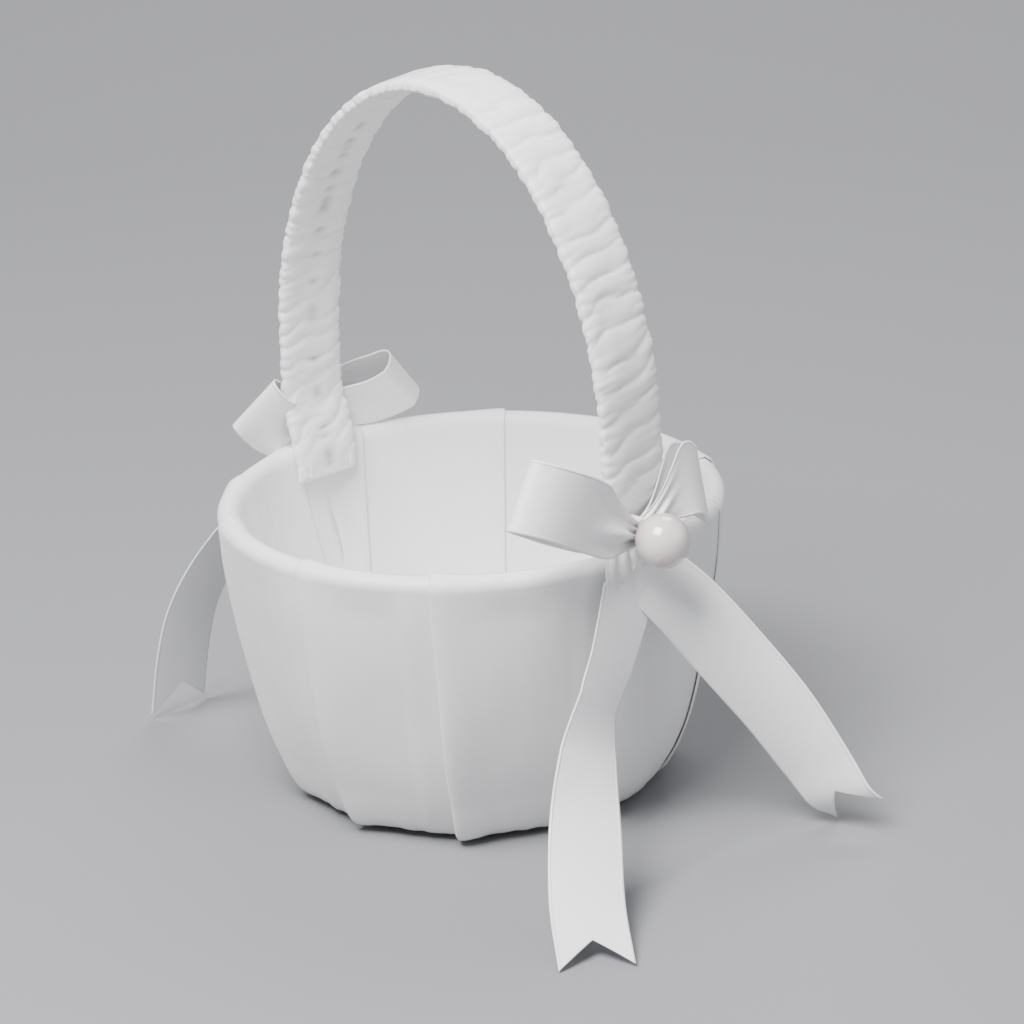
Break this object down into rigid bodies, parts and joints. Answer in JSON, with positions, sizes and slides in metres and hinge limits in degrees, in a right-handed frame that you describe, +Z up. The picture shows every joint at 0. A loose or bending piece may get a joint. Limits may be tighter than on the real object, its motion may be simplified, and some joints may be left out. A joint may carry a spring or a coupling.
{
  "type": "flower girl basket",
  "caption": "Round satin-covered basket with a rolled rim, a ruched arch handle and a ribbon bow with a pearl at each handle foot; forked ribbon ends hang from each bow.",
  "frame": {"origin": "centre of the underside disc's resting face", "axes": "+Z up, +X from the basket's middle through the front foot of the handle to the front bow"},
  "size_m": [0.2575, 0.1631, 0.2229],
  "materials": {
    "cover_satin": "satin weave, soft sheen",
    "sleeve_satin": "satin weave, soft sheen",
    "ribbon_satin": "double-faced satin, glossy",
    "pearl": "pearlescent",
    "thread": "polyester sewing thread",
    "sponge": "thin open sponge",
    "felt": "pressed felt",
    "card": "grey board",
    "bowl_plastic": "moulded, matt",
    "strip_plastic": "extruded strip"
  },
  "bodies": {
    "basket": {"bowl_form": "bowl_plastic", "outer_wadding": "sponge", "satin_cover": "cover_satin", "underside_disc": "felt", "floor_board": "card", "floor_board_cover": "cover_satin", "handle_core": "strip_plastic", "handle_sleeve": "sleeve_satin", "front_foot_stitches": "thread", "front_bow_loops": "ribbon_satin", "front_tail_knot": "ribbon_satin", "front_bow_tie": "thread", "front_pearl": "pearl", "front_pearl_thread": "thread", "rear_foot_stitches": "thread", "rear_bow_loops": "ribbon_satin", "rear_tail_knot": "ribbon_satin", "rear_bow_tie": "thread", "rear_pearl": "pearl", "rear_pearl_thread": "thread"},
    "front_tail_left_end": {"front_tail_left": "ribbon_satin"},
    "front_tail_right_end": {"front_tail_right": "ribbon_satin"},
    "rear_tail_left_end": {"rear_tail_left": "ribbon_satin"},
    "rear_tail_right_end": {"rear_tail_right": "ribbon_satin"}
  },
  "joints": [
    {"name": "front_tail_left_swing", "type": "hinge", "parent": "basket", "child": "front_tail_left_end", "pos_m": [0.0782, -0.01, 0.0875], "axis": [0, -1, 0], "range_deg": [-10, 70]},
    {"name": "front_tail_right_swing", "type": "hinge", "parent": "basket", "child": "front_tail_right_end", "pos_m": [0.0782, 0.002, 0.0875], "axis": [0, -1, 0], "range_deg": [-10, 70]},
    {"name": "rear_tail_left_swing", "type": "hinge", "parent": "basket", "child": "rear_tail_left_end", "pos_m": [-0.0782, -0.004, 0.0875], "axis": [0, 1, 0], "range_deg": [-10, 70]},
    {"name": "rear_tail_right_swing", "type": "hinge", "parent": "basket", "child": "rear_tail_right_end", "pos_m": [-0.0782, 0.008, 0.0875], "axis": [0, 1, 0], "range_deg": [-10, 70]}
  ]
}
